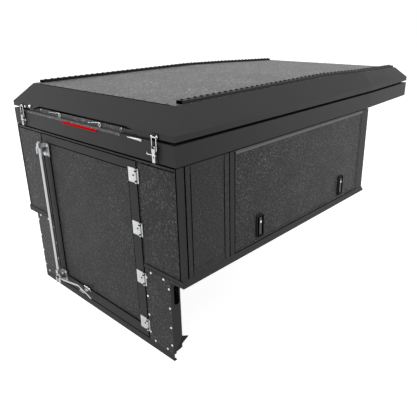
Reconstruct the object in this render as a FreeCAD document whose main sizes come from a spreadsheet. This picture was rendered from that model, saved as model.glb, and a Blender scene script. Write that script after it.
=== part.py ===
# Pickup truck canopy with a lift-up lid, a rear door and a side door.
# X points to the vehicle's right, Y forward, Z up, in millimetres.
# The origin is the centre of the underside of the front rail, which sits on the load bed.

import FreeCAD, Part
import os
from types import SimpleNamespace

import Sketcher

# Driving dimensions in millimetres and degrees
SIZES = {
    "sheet": 3.0,
    "body_length": 1746.0,
    "body_height": 583.0,
    "body_inset": 2.0,
    "rail_width": 40.0,
    "rail_height": 28.0,
    "rail_lip": 16.0,
    "rail_edge": 6.0,
    "post_leg": 40.0,
    "rear_post_side": 36.0,
    "front_post_side": 85.0,
    "panel_depth": 25.0,
    "panel_border": 33.0,
    "panel_gap": 7.0,
    "panel_foot": 42.0,
    "field_border": 9.0,
    "gasket": 5.0,
    "gasket_inset": 8.0,
    "gasket_width": 18.0,
    "emboss_depth": 1.2,
    "tray_width": 1450.0,
    "tray_height": 95.0,
    "tray_flange": 45.0,
    "overhang": 637.0,
    "crease_ahead": 25.0,
    "nose_inset": 26.0,
    "lid_gap": 14.0,
    "lip_height": 27.0,
    "roof_rise": 100.0,
    "side_run": 91.0,
    "rear_run": 98.0,
    "nose_drop": 38.0,
    "roof_bend": 1346.0,
    "nose_run": 95.0,
    "roof_flange": 60.0,
    "skin_thickness": 2.0,
    "skin_inset": 3.0,
    "notch_half": 400.0,
    "notch_slope": 100.0,
    "roof_rail_width": 36.0,
    "roof_rail_height": 14.0,
    "roof_rail_inset": 4.0,
    "roof_rail_start": 45.0,
    "roof_rail_end": 20.0,
    "lid_flange": 42.0,
    "seal_inset": 31.0,
    "seal_width": 12.0,
    "seal_clearance": 0.3,
    "door_left": 428.0,
    "door_right": 446.0,
    "door_top": 560.0,
    "door_bottom": 412.0,
    "door_gap": 5.0,
    "door_depth": 30.0,
    "lock_stile": 60.0,
    "hinge_stile": 65.0,
    "top_rail": 44.0,
    "door_recess": 6.0,
    "skirt_half": 645.0,
    "skirt_drop": 460.0,
    "skirt_depth": 60.0,
    "skirt_return": 45.0,
    "sill_depth": 18.0,
    "slot_width": 22.0,
    "slot_height": 99.0,
    "slot_corner": 9.0,
    "slot_below": 35.0,
    "slot_behind": 24.0,
    "bracket_drop": 341.0,
    "bracket_height": 47.0,
    "bracket_reach": 45.0,
    "bracket_foot": 20.0,
    "bracket_thickness": 5.0,
    "light_half": 158.0,
    "light_height": 9.0,
    "light_depth": 6.0,
    "light_below": 13.0,
    "rod_radius": 10.0,
    "rod_left": 418.0,
    "rod_standoff": 27.0,
    "rod_top": 520.0,
    "rod_bottom": 414.0,
    "rod_clearance": 0.3,
    "cam_reach": 22.0,
    "cam_width": 14.0,
    "cam_height": 24.0,
    "cam_high": 452.0,
    "cam_low": 410.0,
    "keeper_wall": 3.0,
    "keeper_height": 40.0,
    "keeper_foot": 24.0,
    "keeper_clearance": 1.0,
    "keeper_seat": 6.0,
    "guide_height": 26.0,
    "guide_wall": 4.0,
    "guide_high": 484.0,
    "guide_low": 345.0,
    "guide_foot": 78.0,
    "guide_reach": 70.0,
    "handle_length": 365.0,
    "handle_height": 12.0,
    "handle_thickness": 6.0,
    "handle_drop": 372.0,
    "handle_start": 48.0,
    "handle_bend": 232.0,
    "handle_rise": 34.0,
    "catch_at": 270.0,
    "catch_width": 60.0,
    "hinge_height": 72.0,
    "hinge_middle": 48.0,
    "knuckle_gap": 1.5,
    "hinge_first": 491.0,
    "hinge_pitch": 274.0,
    "hinge_leaf": 3.0,
    "knuckle_radius": 5.0,
    "pin_radius": 2.5,
    "pin_clearance": 0.2,
    "door_leaf": 56.0,
    "frame_leaf": 15.0,
    "side_door_start": 383.0,
    "side_door_end": 91.0,
    "side_door_low": 34.0,
    "side_door_high": 566.0,
    "side_door_gap": 6.0,
    "side_door_depth": 24.0,
    "side_door_border": 12.0,
    "stiffener": 25.0,
    "mid_post_width": 32.0,
    "strip_leaf": 8.0,
    "strip_thickness": 2.0,
    "strip_radius": 3.5,
    "strip_bead": 2.0,
    "strip_neck": 1.0,
    "strip_mouth": 2.3,
    "strip_step": 4.5,
    "paddle_width": 28.0,
    "paddle_height": 100.0,
    "paddle_corner": 14.0,
    "cup_corner": 6.0,
    "paddle_border": 15.0,
    "paddle_frame": 6.0,
    "paddle_gap": 1.0,
    "paddle_thickness": 3.0,
    "paddle_pin": 1.2,
    "paddle_pin_reach": 4.0,
    "paddle_pin_drop": 3.0,
    "paddle_level": 120.0,
    "paddle_first": 200.0,
    "paddle_pitch": 847.0,
    "latch_at": 604.0,
    "latch_pivot": 75.0,
    "latch_standoff": 12.0,
    "latch_plate": 2.0,
    "latch_half": 9.5,
    "latch_crank": 18.0,
    "latch_tail": 52.0,
    "over_centre": 1.0,
    "tab_drop": 36.0,
    "tab_reach": 46.0,
    "tab_past": 18.0,
    "tab_rise": 9.0,
    "lever_slot_width": 4.0,
    "lever_slot_height": 11.0,
    "ear_half": 9.0,
    "cheek": 2.0,
    "cheek_gap": 0.5,
    "rivet_radius": 2.0,
    "rivet_clearance": 0.3,
    "wire_radius": 1.6,
    "wire_past": 0.8,
    "keeper_half": 20.0,
    "tongue_half": 9.0,
    "tongue_reach": 15.0,
    "tongue_clearance": 0.3,
    "eye_left": 210.0,
    "eye_right": 168.0,
    "eye_half": 7.0,
    "eye_height": 22.0,
    "eye_set_back": 12.0,
    "lid_hinge_at": 430.0,
    "lid_hinge_leaf": 26.0,
    "lid_hinge_width": 90.0,
}

# Number of hinges on the rear door
REAR_HINGES = 4

doc = FreeCAD.newDocument("PickupCanopy")
sheet = doc.addObject("Spreadsheet::Sheet", "Sizes")


class Length:
    """A length in millimetres together with the sheet formula it follows."""

    def __init__(self, value, formula):
        self.value = value
        self.formula = formula

    def __add__(self, other):
        other = as_length(other)
        return Length(self.value + other.value, f"({self.formula} + {other.formula})")

    def __sub__(self, other):
        other = as_length(other)
        return Length(self.value - other.value, f"({self.formula} - {other.formula})")

    def __mul__(self, other):
        other = as_length(other)
        return Length(self.value * other.value, f"({self.formula} * {other.formula})")

    def __truediv__(self, other):
        other = as_length(other)
        return Length(self.value / other.value, f"({self.formula} / {other.formula})")

    def __neg__(self):
        return Length(-self.value, f"(0 - {self.formula})")

    def __radd__(self, other):
        return as_length(other) + self

    def __rsub__(self, other):
        return as_length(other) - self

    def __rmul__(self, other):
        return as_length(other) * self


def as_length(number):
    if isinstance(number, Length):
        return number
    return Length(float(number), f"({float(number):.6f})")


ZERO = as_length(0)

for row, (alias, value) in enumerate(SIZES.items(), start=1):
    sheet.set(f"A{row}", alias.replace("_", " "))
    sheet.set(f"B{row}", str(value))
    sheet.setAlias(f"B{row}", alias)
doc.recompute()

s = SimpleNamespace(**{alias: Length(float(sheet.get(alias)), f"Sizes.{alias}") for alias in SIZES})

UPRIGHT = FreeCAD.Rotation()
TURNS = {
    "X": FreeCAD.Rotation(FreeCAD.Vector(0, 1, 0), 90),
    "Y": FreeCAD.Rotation(FreeCAD.Vector(1, 0, 0), -90),
    "Z": UPRIGHT,
}
PIECES = []


# Features whose sizes and places follow the sheet

def bind(feature, name, length):
    feature.setExpression(name, as_length(length).formula)


def place(feature, corner, turn=UPRIGHT):
    base = FreeCAD.Vector(*(as_length(value).value for value in corner))
    feature.Placement = FreeCAD.Placement(base, turn)
    for axis, value in zip("xyz", corner):
        bind(feature, f"Placement.Base.{axis}", value)


def block(low, high):
    """A block between two corners."""
    feature = doc.addObject("Part::Box", "Block")
    for name, start, end in zip(("Length", "Width", "Height"), low, high):
        bind(feature, name, as_length(end) - start)
    place(feature, low)
    return feature


def cylinder(start, axis, radius, length):
    """A round bar from a start point along one axis."""
    feature = doc.addObject("Part::Cylinder", "Round")
    bind(feature, "Radius", radius)
    bind(feature, "Height", length)
    place(feature, start, TURNS[axis])
    return feature


def rounded_block(low, high, radius):
    """A block whose four edges along X are rounded."""
    centre_low = (low[1] + radius, low[2] + radius)
    centre_high = (high[1] - radius, high[2] - radius)
    parts = [block((low[0], centre_low[0], low[2]), (high[0], centre_high[0], high[2])),
             block((low[0], low[1], centre_low[1]), (high[0], high[1], centre_high[1]))]
    for across in (centre_low[0], centre_high[0]):
        for up in (centre_low[1], centre_high[1]):
            parts.append(cylinder((low[0], across, up), "X", radius, high[0] - low[0]))
    return fuse(*parts)


def wire_loop(centre, y, half_width, low, high, radius):
    """A closed loop of round wire: two legs between two bars that reach a little past them."""
    parts = []
    for sign in (-1, 1):
        parts.append(cylinder((centre + half_width * sign, y, low), "Z", radius, high - low))
    reach = half_width + radius + s.wire_past
    for level in (low, high):
        parts.append(cylinder((centre - reach, y, level), "X", radius, reach * 2))
    return fuse(*parts)


def origin_plane(body, role):
    return next(item for item in body.Origin.OriginFeatures if item.Role == role)


def outline(body, role, corners, level):
    """A closed outline of straight sides on one of the body's origin planes."""
    sketch = body.newObject("Sketcher::SketchObject", "Outline")
    sketch.AttachmentSupport = (origin_plane(body, role), [""])
    sketch.MapMode = "FlatFace"
    bind(sketch, "AttachmentOffset.Base.z", level)
    corners = [(as_length(across), as_length(up)) for across, up in corners]
    points = [FreeCAD.Vector(across.value, up.value, 0) for across, up in corners]
    count = len(points)
    for index in range(count):
        sketch.addGeometry(Part.LineSegment(points[index], points[(index + 1) % count]), False)
    for index in range(count):
        sketch.addConstraint(Sketcher.Constraint("Coincident", index, 2, (index + 1) % count, 1))
    for index, (across, up) in enumerate(corners):
        for kind, length in (("DistanceX", across), ("DistanceY", up)):
            number = sketch.addConstraint(Sketcher.Constraint(kind, -1, 1, index, 1, length.value))
            name = f"{kind}{index}"
            sketch.renameConstraint(number, name)
            sketch.setExpression(f"Constraints.{name}", length.formula)
    return sketch


def profile(role, corners, start, end):
    """An outline drawn on an origin plane and padded from one level to another."""
    body = doc.addObject("PartDesign::Body", "Profile")
    start = as_length(start)
    end = as_length(end)
    level = -end if role == "XZ_Plane" else start
    pad = body.newObject("PartDesign::Pad", "Pad")
    pad.Profile = outline(body, role, corners, level)
    bind(pad, "Length", end - start)
    body.Tip = pad
    return body


def fuse(*parts):
    feature = doc.addObject("Part::MultiFuse", "Join")
    feature.Shapes = list(parts)
    feature.Refine = True
    return feature


def cut(base, *tools):
    feature = doc.addObject("Part::Cut", "Trim")
    feature.Base = base
    feature.Tool = tools[0] if len(tools) == 1 else fuse(*tools)
    feature.Refine = True
    return feature


def common(first, second):
    feature = doc.addObject("Part::Common", "Overlap")
    feature.Base = first
    feature.Tool = second
    feature.Refine = True
    return feature


def mirror(source):
    """The same piece on the other side of the canopy."""
    feature = doc.addObject("Part::Mirroring", "Mirror")
    feature.Source = source
    feature.Base = FreeCAD.Vector(0, 0, 0)
    feature.Normal = FreeCAD.Vector(1, 0, 0)
    return feature


def together(*parts):
    """Solids that don't touch, kept in one piece of the list."""
    feature = doc.addObject("Part::Compound", "Set")
    feature.Links = list(parts)
    return feature


def piece(name, feature):
    feature.Label = name
    PIECES.append(feature)
    return feature


def pair(name, feature):
    """The right-hand piece and its mirror image on the left."""
    piece(f"{name}_right", feature)
    piece(f"{name}_left", mirror(feature))


def both(name, feature):
    """One entry in the list that holds a piece and its mirror image."""
    piece(name, together(feature, mirror(feature)))


# Levels and planes shared by the pieces
half = s.tray_width / 2
side = half - s.body_inset
front = s.rail_width / 2
rear = front - s.body_length
top = s.body_height
wall_top = top - s.gasket
nose = front + s.overhang
crease = front + s.crease_ahead
nose_half = half - s.nose_inset
tray_top = top + s.tray_height
lip_low = tray_top + s.lid_gap
lip_top = lip_low + s.lip_height
roof = lip_top + s.roof_rise
roof_nose = roof - s.nose_drop
bend = rear + s.roof_bend
roof_slope = s.nose_drop / (nose - bend)
roof_crease = roof - roof_slope * (crease - bend)
side_slope = s.side_run / s.roof_rise
opening_left = -s.door_left - s.door_gap
opening_right = s.door_right + s.door_gap
opening_top = s.door_top + s.door_gap
opening_bottom = -s.door_bottom - s.door_gap
door_bottom = -s.door_bottom
skirt_bottom = -s.skirt_drop
side_rear = rear + s.side_door_start
side_front = front - s.side_door_end
mid_post_rear = side_rear - s.side_door_gap - s.mid_post_width


# Base rails and posts

def base_rails():
    channel = [
        (side - s.rail_width, 0), (side + s.rail_lip, 0), (side + s.rail_lip, s.rail_edge),
        (side, s.rail_height), (side - s.rail_width, s.rail_height),
        (side - s.rail_width, s.rail_height - s.sheet), (side - s.sheet, s.rail_height - s.sheet),
        (side - s.sheet, s.sheet), (side - s.rail_width, s.sheet),
    ]
    behind_panel = block((side - s.rail_width - s.sheet, rear - s.sheet, -s.sheet),
                         (side - s.sheet, rear + s.panel_depth, s.rail_height + s.sheet))
    both("bed_rails", cut(profile("XZ_Plane", channel, rear, front), behind_panel))
    inner = side - s.rail_width
    outer = block((-inner, front - s.rail_width, 0), (inner, front, s.rail_height))
    hollow = block((-inner, front - s.rail_width, s.sheet), (inner, front - s.sheet, s.rail_height - s.sheet))
    piece("front_rail", cut(outer, hollow))


def corner_post(end_y, inward, side_leg):
    """A corner post: a leg on the side face, and a leg behind the end wall's folded sheet."""
    back = end_y + inward * s.panel_depth
    legs = [
        (side, end_y), (side, end_y + inward * side_leg), (side - s.sheet, end_y + inward * side_leg),
        (side - s.sheet, back + inward * s.sheet), (side - s.post_leg, back + inward * s.sheet),
        (side - s.post_leg, back), (side - s.sheet, back), (side - s.sheet, end_y),
    ]
    return profile("XY_Plane", legs, s.rail_height, wall_top)


def posts():
    both("rear_posts", corner_post(rear, 1, s.rear_post_side))
    both("front_posts", corner_post(front, -1, s.front_post_side))
    mid_post_front = mid_post_rear + s.mid_post_width
    outer = block((side - s.door_depth, mid_post_rear, s.rail_height), (side, mid_post_front, wall_top))
    hollow = block((side - s.door_depth, mid_post_rear + s.sheet, s.rail_height + s.sheet),
                   (side - s.sheet, mid_post_front - s.sheet, wall_top - s.sheet))
    both("mid_posts", cut(outer, hollow))


# Fixed walls

def pan(low, high, facing, border, foot=0):
    """A folded sheet with returned edges, open at the back, and a pressed field on its face."""
    axis, outward = facing
    inner_low = [value + s.sheet for value in low]
    inner_high = [value - s.sheet for value in high]
    field_low = [value + border for value in low]
    field_high = [value - border for value in high]
    field_low[2] = field_low[2] + foot
    if outward > 0:
        inner_low[axis] = low[axis]
        field_low[axis] = high[axis] - s.emboss_depth
        field_high[axis] = high[axis]
    else:
        inner_high[axis] = high[axis]
        field_low[axis] = low[axis]
        field_high[axis] = low[axis] + s.emboss_depth
    return cut(block(low, high), block(inner_low, inner_high), block(field_low, field_high))


def walls():
    inner = side - s.sheet
    piece("front_wall", pan((-inner, front - s.panel_depth, s.rail_height), (inner, front, wall_top), (1, 1),
                            s.panel_border))
    both("side_panels", pan((side - s.panel_depth, rear + s.rear_post_side + s.panel_gap, s.rail_height),
                            (side, mid_post_rear - s.panel_gap, wall_top), (0, 1), s.panel_border))
    foot = s.panel_foot - s.field_border
    for name, start, end in (("right", opening_right, inner), ("left", -inner, opening_left)):
        low = (start, rear, ZERO)
        high = (end, rear + s.panel_depth, wall_top)
        piece(f"rear_panel_{name}", pan(low, high, (1, -1), s.field_border, foot))
    piece("rear_header", block((opening_left, rear, opening_top),
                               (opening_right, rear + s.door_depth, wall_top)))
    header_low = s.side_door_high + s.side_door_gap
    header = block((side - s.door_depth, mid_post_rear + s.mid_post_width, header_low),
                   (side, front - s.front_post_side, wall_top))
    both("side_headers", header)
    gasket()


def gasket():
    """A flat strip between the body's walls and the tray."""
    outer_x = side - s.gasket_inset
    outer_rear = rear + s.gasket_inset
    outer_front = front - s.gasket_inset
    ring = block((-outer_x, outer_rear, wall_top), (outer_x, outer_front, top))
    inner_x = outer_x - s.gasket_width
    room = block((-inner_x, outer_rear + s.gasket_width, wall_top),
                 (inner_x, outer_front - s.gasket_width, top))
    piece("body_gasket", cut(ring, room))


# Skirt that fills the tailgate opening

def skirt(inner, outer, outward):
    """A channel of folded sheet below the body, with a slot and a turned-in edge on its outer return."""
    low = inner if outward > 0 else outer
    high = outer if outward > 0 else inner
    depth = rear + s.skirt_depth
    shell = block((low, rear, opening_bottom), (high, depth, 0))
    hollow = block((low + s.sheet, rear + s.sheet, opening_bottom), (high - s.sheet, depth, -s.sheet))
    through_low = outer - s.sheet * 2
    through_high = outer + s.sheet * 2
    slot_rear = rear + s.slot_behind
    slot = rounded_block((through_low, slot_rear, -s.slot_below - s.slot_height),
                         (through_high, slot_rear + s.slot_width, -s.slot_below), s.slot_corner)
    corner = profile("YZ_Plane", [
        (rear + s.sheet * 2, opening_bottom), (depth, opening_bottom), (depth, -s.bracket_drop),
    ], through_low, through_high)
    turned_inner = outer - s.skirt_return * outward
    turned_low = turned_inner if outward > 0 else outer
    turned_high = outer if outward > 0 else turned_inner
    turned = block((turned_low, depth - s.sheet, s.bracket_foot - s.bracket_drop), (turned_high, depth, 0))
    return fuse(cut(shell, hollow, slot, corner), turned)


def skirts():
    right = skirt(opening_right, s.skirt_half, 1)
    left = skirt(opening_left, -s.skirt_half, -1)
    piece("rear_skirts", together(right, left))
    depth = rear + s.sill_depth
    sill_top = opening_bottom
    channel = [
        (rear, skirt_bottom), (depth, skirt_bottom), (depth, skirt_bottom + s.sheet),
        (rear + s.sheet, skirt_bottom + s.sheet), (rear + s.sheet, sill_top - s.sheet),
        (depth, sill_top - s.sheet), (depth, sill_top), (rear, sill_top),
    ]
    piece("rear_sill", profile("YZ_Plane", channel, -s.skirt_half, s.skirt_half))
    tie_brackets()


def tie_brackets():
    """A plate inside each outer return, with a hook that points forward."""
    inner = s.skirt_half - s.sheet - s.bracket_thickness
    edge = rear + s.skirt_depth
    hook_low = -s.bracket_drop - s.bracket_height
    hook = [
        (rear + s.sheet, opening_bottom), (edge, hook_low - s.bracket_foot), (edge, hook_low),
        (edge + s.bracket_reach, -s.bracket_drop - s.bracket_height / 2), (edge, -s.bracket_drop),
        (edge - s.bracket_foot, -s.bracket_drop),
    ]
    both("tie_brackets", profile("YZ_Plane", hook, inner, inner + s.bracket_thickness))


# Tray under the lid

def side_plan(outer_half, outer_nose_half, width, start, end):
    """Plan of a side member that follows the crease, from its outer face inward."""
    shift = (outer_half - outer_nose_half) / (nose - crease)
    start_half = outer_half
    end_half = outer_half - shift * (end - crease)
    return [
        (start_half, start), (outer_half, crease), (end_half, end),
        (end_half - width, end), (outer_half - width, crease), (start_half - width, start),
    ]


def tray():
    flange = s.tray_flange
    low = top + s.sheet
    high = tray_top - s.sheet
    rear_wall = block((-half, rear, top), (half, rear + flange, tray_top))
    hollow = block((s.sheet - half, rear + s.sheet, low), (half - s.sheet, rear + flange, high))
    piece("tray_rear", cut(rear_wall, hollow))
    start = rear + flange
    end = nose - flange
    outside = side_plan(half, nose_half, flange, start, end)
    inside = side_plan(half - s.sheet, nose_half - s.sheet, flange, start, end)
    both("tray_sides", cut(profile("XY_Plane", outside, top, tray_top),
                           profile("XY_Plane", inside, low, high)))
    narrowing = s.nose_inset / (nose - crease)
    back_half = nose_half + narrowing * flange
    nose_plan = [(-nose_half, nose), (nose_half, nose), (back_half, end), (-back_half, end)]
    nose_hollow = [
        (s.sheet - nose_half, nose - s.sheet), (nose_half - s.sheet, nose - s.sheet),
        (back_half - s.sheet, end), (s.sheet - back_half, end),
    ]
    piece("tray_nose", cut(profile("XY_Plane", nose_plan, top, tray_top),
                           profile("XY_Plane", nose_hollow, low, high)))
    floor_half = half - flange
    floor_back = front - s.panel_depth
    floor_nose = back_half - flange
    floor = [
        (-floor_half, floor_back), (floor_half, floor_back), (floor_half, crease),
        (floor_nose, end), (-floor_nose, end), (-floor_half, crease),
    ]
    piece("tray_floor", profile("XY_Plane", floor, top, top + s.sheet))
    seal()
    lashing_eyes()


def ring_plan(inset):
    """Plan of the lid, drawn in by an inset."""
    return [
        (inset - half, rear + inset), (half - inset, rear + inset), (half - inset, crease),
        (nose_half - inset, nose - inset), (inset - nose_half, nose - inset), (inset - half, crease),
    ]


def seal():
    """A soft ring on the tray's flange that the lid's flange closes on."""
    seal_top = lip_low - s.seal_clearance
    outer = profile("XY_Plane", ring_plan(s.seal_inset), tray_top, seal_top)
    inner = profile("XY_Plane", ring_plan(s.seal_inset + s.seal_width),
                    tray_top - s.sheet, seal_top + s.sheet)
    piece("lid_seal", cut(outer, inner))


def lashing_eyes():
    """Wire eyes that stand on the tray's rear flange, in the lid's notch."""
    y = rear + s.eye_set_back
    radius = s.rivet_radius
    reach = s.eye_half + radius + s.wire_past
    eyes = []
    for centre in (-s.eye_left, s.eye_right):
        legs = []
        for sign in (-1, 1):
            legs.append(cylinder((centre + s.eye_half * sign, y, tray_top), "Z", radius, s.eye_height))
        bar = cylinder((centre - reach, y, tray_top + s.eye_height), "X", radius, reach * 2)
        eyes.append(fuse(bar, *legs))
    piece("lashing_eyes", together(*eyes))


# Lid

def lid_section(y, shell, half_low, roof_level, roof_half, inset):
    """Cross-section of the lid with its upright lip, side slopes and flat roof."""
    low = lip_low - inset
    return outline(shell, "XZ_Plane", [
        (inset - half_low, low), (half_low - inset, low), (half_low - inset, lip_top),
        (roof_half - inset, roof_level - inset), (inset - roof_half, roof_level - inset),
        (inset - half_low, lip_top),
    ], -y)


def lid_form(inset):
    """The closed outer form of the lid, or the same form drawn in by a wall thickness."""
    shell = doc.addObject("PartDesign::Body", "Form")
    roof_half = half - s.side_run
    crease_half = half - side_slope * (roof_crease - lip_top)
    ends = [
        (rear + inset, half, roof, roof_half), (bend, half, roof, roof_half),
        (crease, half, roof_crease, crease_half),
        (nose - inset, nose_half, roof_nose, nose_half - s.nose_run),
    ]
    sections = []
    for y, low_half, level, high_half in ends:
        sections.append(lid_section(y, shell, low_half, level, high_half, inset))
    loft = shell.newObject("PartDesign::AdditiveLoft", "Loft")
    loft.Profile = sections[0]
    loft.Sections = sections[1:]
    loft.Ruled = True
    loft.Closed = False
    shell.Tip = loft
    slope = s.rear_run / s.roof_rise
    over = s.roof_rise
    wedge = profile("YZ_Plane", [
        (rear + inset - slope * inset, lip_top - inset),
        (rear + inset + slope * (s.roof_rise + over), roof + over - inset),
        (rear - over, roof + over), (rear - over, lip_top - inset),
    ], -half - over, half + over)
    return cut(shell, wedge)


def roof_band(low, high):
    """A band that follows the roof line between two heights above it."""
    return [
        (rear + s.rear_run, roof + low), (bend, roof + low), (nose, roof_nose + low),
        (nose, roof_nose + high), (bend, roof + high), (rear + s.rear_run, roof + high),
    ]


def roof_plan(inset):
    """Plan of the roof's flat top, drawn in by an inset."""
    roof_half = half - s.side_run - inset
    crease_half = half - side_slope * (roof_crease - lip_top) - inset
    tip_half = nose_half - s.nose_run - inset
    back = rear + s.rear_run + inset
    tip = nose - inset
    return [
        (-roof_half, back), (roof_half, back), (roof_half, bend), (crease_half, crease), (tip_half, tip),
        (-tip_half, tip), (-crease_half, crease), (-roof_half, bend),
    ]


def lid():
    window = profile("XY_Plane", roof_plan(s.roof_flange), lip_top, roof + s.roof_rise)
    notch_end = s.notch_half + s.notch_slope
    notch = profile("XZ_Plane", [
        (-notch_end, lip_low - s.sheet), (notch_end, lip_low - s.sheet), (notch_end, lip_low),
        (s.notch_half, lip_top), (-s.notch_half, lip_top), (-notch_end, lip_low),
    ], rear - s.sheet, rear + s.lid_flange + s.sheet)
    shell = cut(lid_form(ZERO), lid_form(s.sheet))
    flange_top = lip_low + s.sheet
    flange = cut(profile("XY_Plane", ring_plan(s.sheet / 2), lip_low, flange_top),
                 profile("XY_Plane", ring_plan(s.lid_flange), lip_low - s.sheet, flange_top + s.sheet))
    piece("lid_shell", cut(fuse(shell, flange), window, notch))
    skin_high = s.skin_thickness
    band = profile("YZ_Plane", roof_band(0, skin_high), -half, half)
    plan = profile("XY_Plane", roof_plan(s.skin_inset), lip_top, roof + s.roof_rise)
    piece("roof_skin", common(band, plan))
    rail_band = profile("YZ_Plane", roof_band(skin_high, skin_high + s.roof_rail_height), 0, half)
    inset = s.skin_inset + s.roof_rail_inset
    corners = roof_plan(inset)
    back = rear + s.rear_run + s.roof_rail_start
    tip = nose - inset - s.roof_rail_end
    right = [(corners[1][0], back), corners[2], corners[3], (corners[4][0], tip)]
    left = [(across - s.roof_rail_width, up) for across, up in reversed(right)]
    both("roof_rails", common(rail_band, profile("XY_Plane", right + left, lip_top, roof + s.roof_rise)))


def lid_hinges():
    """Strap hinges at the nose: two fixed knuckles with a pin, and the lid's knuckle between them."""
    axis_y = nose + s.knuckle_radius
    axis_z = tray_top + s.lid_gap / 2
    width = s.lid_hinge_width
    third = width / 3
    bore = s.pin_radius + s.pin_clearance
    fixed = []
    moving = []
    for centre in (-s.lid_hinge_at, s.lid_hinge_at):
        start = centre - width / 2
        plate = block((start, nose, axis_z - s.lid_hinge_leaf), (start + width, nose + s.hinge_leaf, axis_z))
        barrel = cylinder((start, axis_y, axis_z), "X", s.knuckle_radius, width)
        room_start = start + third - s.pin_clearance
        room_end = start + third * 2 + s.pin_clearance
        room = block((room_start, nose - s.hinge_leaf, axis_z - s.knuckle_radius * 2),
                     (room_end, nose + s.knuckle_radius * 3, axis_z + s.knuckle_radius * 2))
        pin = cylinder((start, axis_y, axis_z), "X", s.pin_radius, width)
        fixed.append(fuse(cut(fuse(plate, barrel), room), pin))
        knuckle = cylinder((start + third, axis_y, axis_z), "X", s.knuckle_radius, third)
        strap = block((start + third, nose, axis_z),
                      (start + third * 2, nose + s.hinge_leaf, axis_z + s.lid_hinge_leaf))
        hole = cylinder((start + third - s.sheet, axis_y, axis_z), "X", bore, third + s.sheet * 2)
        moving.append(cut(fuse(knuckle, strap), hole))
    piece("lid_hinge_bases", together(*fixed))
    piece("lid_hinge_straps", together(*moving))


# Rear door

def rear_door():
    low = (-s.door_left, rear, door_bottom)
    high = (s.door_right, rear + s.door_depth, s.door_top)
    frame = block(low, high)
    window_left = s.lock_stile - s.door_left
    window_right = s.door_right - s.hinge_stile
    window_low = s.lock_stile - s.door_bottom
    window_high = s.door_top - s.top_rail
    window = block((window_left, rear - s.sheet, window_low),
                   (window_right, rear + s.door_depth + s.sheet, window_high))
    piece("rear_door_frame", cut(frame, window))
    panel_y = rear + s.door_recess
    piece("rear_door_panel", block((window_left, panel_y, window_low),
                                   (window_right, panel_y + s.sheet, window_high)))


def rear_hinges():
    """Four hinges with three knuckles each: the frame's leaf holds the pin."""
    axis_x = s.door_right + s.door_gap / 2
    axis_y = rear - s.knuckle_radius
    reach = s.knuckle_radius + s.pin_clearance
    bore = s.pin_radius + s.pin_clearance
    frame_leaves = []
    door_leaves = []
    for number in range(REAR_HINGES):
        low = s.hinge_first - s.hinge_pitch * number - s.hinge_height / 2
        high = low + s.hinge_height
        middle_low = low + (s.hinge_height - s.hinge_middle) / 2
        middle_high = middle_low + s.hinge_middle
        leaf = block((axis_x, rear - s.hinge_leaf, low), (opening_right + s.frame_leaf, rear, high))
        barrel = cylinder((axis_x, axis_y, low), "Z", s.knuckle_radius, s.hinge_height)
        room = block((axis_x - reach, axis_y - reach, middle_low - s.knuckle_gap),
                     (axis_x + reach, rear + s.sheet, middle_high + s.knuckle_gap))
        pin = cylinder((axis_x, axis_y, low), "Z", s.pin_radius, s.hinge_height)
        frame_leaves.append(fuse(cut(fuse(leaf, barrel), room), pin))
        door_leaf = block((s.door_right - s.door_leaf, rear - s.hinge_leaf, low),
                          (axis_x - reach, rear, high))
        tongue = block((axis_x - reach - s.sheet, rear - s.hinge_leaf, middle_low),
                       (axis_x, rear, middle_high))
        knuckle = cylinder((axis_x, axis_y, middle_low), "Z", s.knuckle_radius, s.hinge_middle)
        hole = cylinder((axis_x, axis_y, middle_low - s.sheet), "Z", bore, s.hinge_middle + s.sheet * 2)
        door_leaves.append(cut(fuse(door_leaf, tongue, knuckle), hole))
    piece("hinge_frame_leaves", together(*frame_leaves))
    piece("hinge_door_leaves", together(*door_leaves))


# Lock rod with its cams, keepers and handle

def lock_rod():
    rod_x = -s.rod_left
    rod_y = rear - s.rod_standoff
    half_cam = s.cam_width / 2
    rod = cylinder((rod_x, rod_y, -s.rod_bottom), "Z", s.rod_radius, s.rod_top + s.rod_bottom)
    cams = []
    for level in (s.cam_high, -s.cam_low):
        cams.append(block((rod_x - s.cam_reach, rod_y - half_cam, level),
                          (rod_x, rod_y + half_cam, level + s.cam_height)))
    piece("lock_rod", fuse(rod, *cams))
    hub_low = -s.handle_drop - s.handle_height
    low = hub_low
    high = hub_low + s.handle_height
    start = rod_x + s.handle_start
    bend = rod_x + s.handle_bend
    end = rod_x + s.handle_length
    blade = profile("XZ_Plane", [
        (rod_x, low), (start, low), (bend, low + s.handle_rise), (end, low), (end, high),
        (bend, high + s.handle_rise), (start, high), (rod_x, high),
    ], rod_y - s.handle_thickness / 2, rod_y + s.handle_thickness / 2)
    hub = cylinder((rod_x, rod_y, hub_low), "Z", s.rod_radius + s.guide_wall, s.handle_height * 2)
    seat = cylinder((rod_x, rod_y, hub_low), "Z", s.rod_radius, s.handle_height * 2)
    piece("lock_handle", cut(fuse(blade, hub), seat))


def keepers():
    """Channels on the frame whose lips stand in front of the cams."""
    rod_y = rear - s.rod_standoff
    wall = s.keeper_wall
    lip_inner = rod_y - s.cam_width / 2 - s.keeper_clearance
    lip_outer = lip_inner - wall
    cam_tip = -s.rod_left - s.cam_reach
    back = cam_tip - s.keeper_clearance * 3
    lip_end = cam_tip + (s.cam_reach - s.rod_radius) / 2
    made = []
    for level in (s.cam_high, -s.cam_low):
        low = level + s.cam_height / 2 - s.keeper_height / 2
        hook = [
            (back - wall, rear), (back, rear), (back, lip_inner), (lip_end, lip_inner),
            (lip_end, lip_outer), (back - wall, lip_outer),
        ]
        foot = block((back - wall - s.keeper_foot, rear - wall, low),
                     (back + s.keeper_seat, rear, low + s.keeper_height))
        made.append(fuse(profile("XY_Plane", hook, low, low + s.keeper_height), foot))
    piece("rod_keepers", together(*made))


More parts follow.
